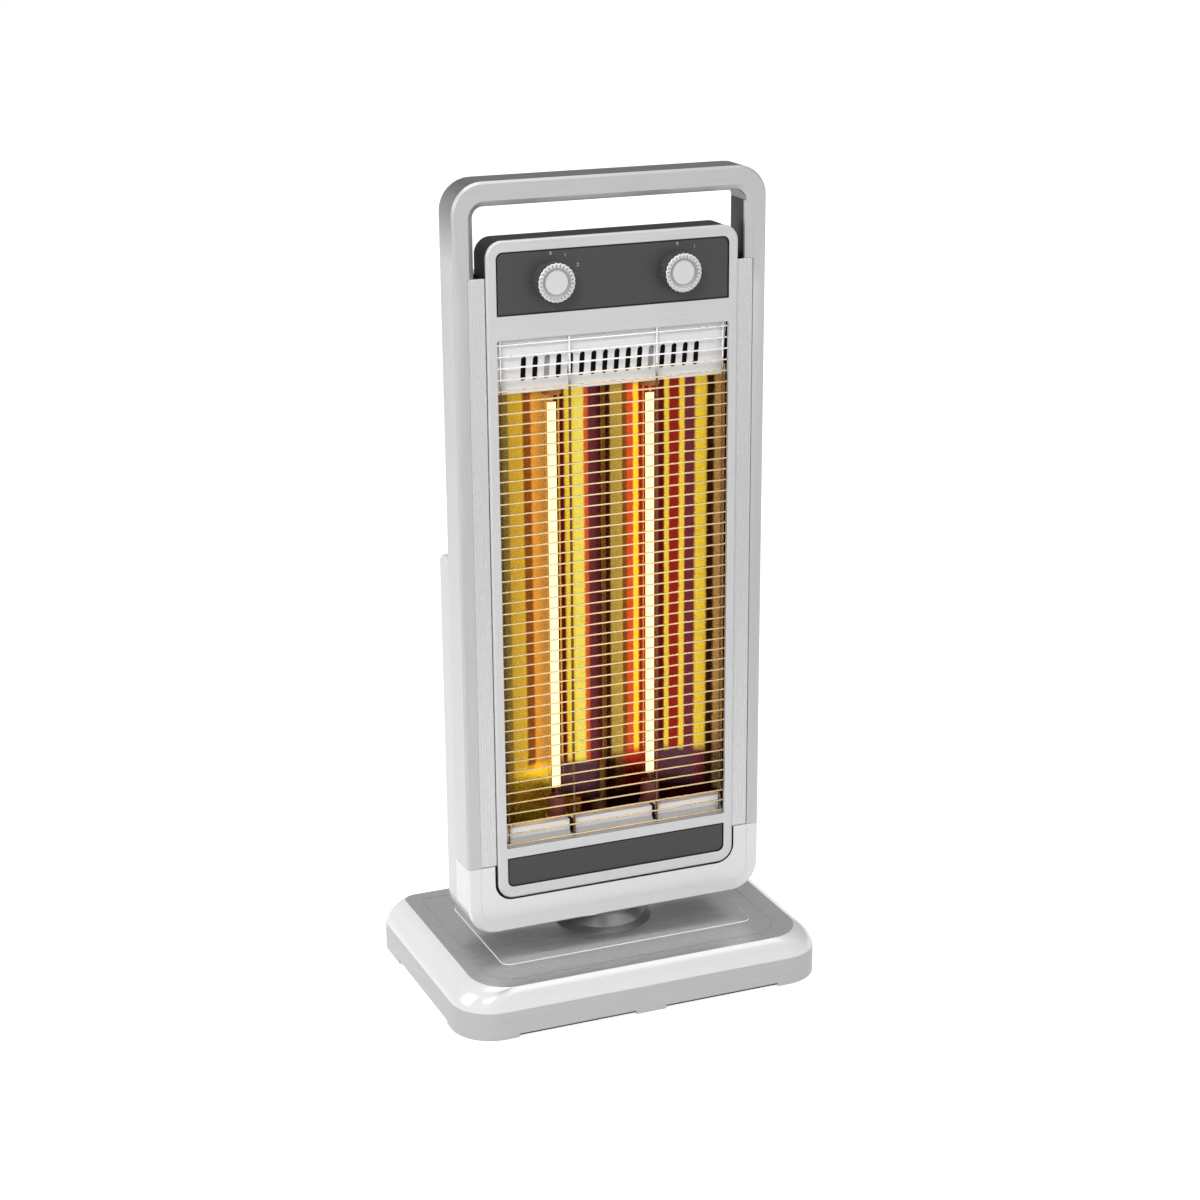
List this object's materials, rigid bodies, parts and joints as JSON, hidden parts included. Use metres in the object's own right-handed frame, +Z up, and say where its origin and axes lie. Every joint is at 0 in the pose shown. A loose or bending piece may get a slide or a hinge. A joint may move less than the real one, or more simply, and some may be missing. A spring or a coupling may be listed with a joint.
{
  "type": "carbon heater",
  "caption": "Tall carbon heater with upright lamps before a gold reflector, a wire guard, a carry handle loop and control knobs, swivelling to and fro on a weighted rectangular base.",
  "frame": {"origin": "on the floor, at the middle of the base, on the axis that the body swivels about", "axes": "+Z up along the body, +X to the right as seen from the front, +Y to the back; the lamps face -Y"},
  "size_m": [0.367, 0.244, 0.767],
  "materials": {
    "base_silver": "silver lacquered moulding, brushed on the deck and glossy on the shoulder",
    "dark_plastic": "black moulded plastic",
    "rubber": "black rubber",
    "ballast_steel": "grey painted steel weight",
    "screw_steel": "zinc plated steel",
    "screw_black": "black oxide steel",
    "slide_plastic": "ivory low-friction plastic",
    "zinc_sheet": "zinc plated sheet",
    "turntable_grey": "mid grey moulding",
    "cover_silver": "pale silver lacquered moulding",
    "frame_silver": "brushed silver lacquered moulding",
    "strip_silver": "satin silver strip",
    "bezel_silver": "brushed silver bezel",
    "graphite": "graphite grey moulding",
    "fascia_grey": "dark grey satin plate",
    "chassis_sheet": "dark heat-proof sheet metal",
    "reflector_gold": "polished gold-toned sheet, bent in facets",
    "vent_white": "white enamelled sheet with a row of slots",
    "ledge_grey": "light grey sheet",
    "quartz": "clear quartz glass tube",
    "carbon_glow": "woven carbon strip, glowing orange",
    "ceramic": "white ceramic",
    "guard_chrome": "chromed steel wire",
    "switch_plastic": "cream switch body",
    "knob_silver": "satin silver knob with a fluted rim",
    "knob_cap_silver": "spun silver disc"
  },
  "bodies": {
    "base": {"base_cover": "base_silver", "base_plate": "dark_plastic", "rubber_feet": "rubber", "base_ballast": "ballast_steel", "base_screws": "screw_steel", "cord_gland": "rubber", "bearing_ring": "slide_plastic", "swivel_motor": "zinc_sheet", "motor_screws": "screw_steel", "tip_switch": "dark_plastic"},
    "crank": {"motor_crank": "slide_plastic"},
    "plunger": {"tip_plunger": "slide_plastic"},
    "heater_body": {"turntable": "turntable_grey", "swing_arm": "slide_plastic", "arm_screws": "screw_steel", "turntable_screws": "screw_steel", "lower_cover": "cover_silver", "front_frame": "frame_silver", "handle_grip": "graphite", "side_strip_left": "strip_silver", "side_strip_right": "strip_silver", "bezel": "bezel_silver", "control_fascia": "fascia_grey", "badge_plate": "fascia_grey", "control_housing": "graphite", "rear_cover": "cover_silver", "rear_housing": "cover_silver", "cover_screws": "screw_black", "chassis": "chassis_sheet", "chassis_brackets": "zinc_sheet", "reflector": "reflector_gold", "vent_plate": "vent_white", "lower_ledge": "ledge_grey", "lamp_tube_left": "quartz", "lamp_tube_right": "quartz", "carbon_strip_left": "carbon_glow", "carbon_strip_right": "carbon_glow", "lamp_caps": "ceramic", "lamp_clips": "zinc_sheet", "wire_guard": "guard_chrome", "power_switch": "switch_plastic", "swing_switch": "switch_plastic", "thermal_cutout": "zinc_sheet", "terminal_block": "slide_plastic"},
    "power_dial": {"power_knob": "knob_silver", "power_knob_cap": "knob_cap_silver", "power_shaft": "screw_steel"},
    "swing_dial": {"swing_knob": "knob_silver", "swing_knob_cap": "knob_cap_silver", "swing_shaft": "screw_steel"}
  },
  "joints": [
    {"name": "swivel", "type": "hinge", "parent": "base", "child": "heater_body", "pos_m": [0, 0, 0.05], "axis": [0, 0, 1], "range_deg": [-35, 35]},
    {"name": "crank_turn", "type": "hinge", "parent": "base", "child": "crank", "pos_m": [0, 0.024, 0.03], "axis": [0, 0, 1], "range_deg": [-125, 125]},
    {"name": "tip_switch_plunger", "type": "slide", "parent": "base", "child": "plunger", "axis": [0, 0, -1], "range_m": [0, 0.005], "stiffness_N_per_m": 30},
    {"name": "power_turn", "type": "hinge", "parent": "heater_body", "child": "power_dial", "pos_m": [-0.06, -0.05, 0.679], "axis": [0, 1, 0], "range_deg": [-65, 0]},
    {"name": "swing_turn", "type": "hinge", "parent": "heater_body", "child": "swing_dial", "pos_m": [0.06, -0.05, 0.679], "axis": [0, 1, 0], "range_deg": [0, 40]}
  ],
  "couplings": [
    {"joint": "crank_turn", "follows": "swivel", "ratio": 3.57}
  ]
}
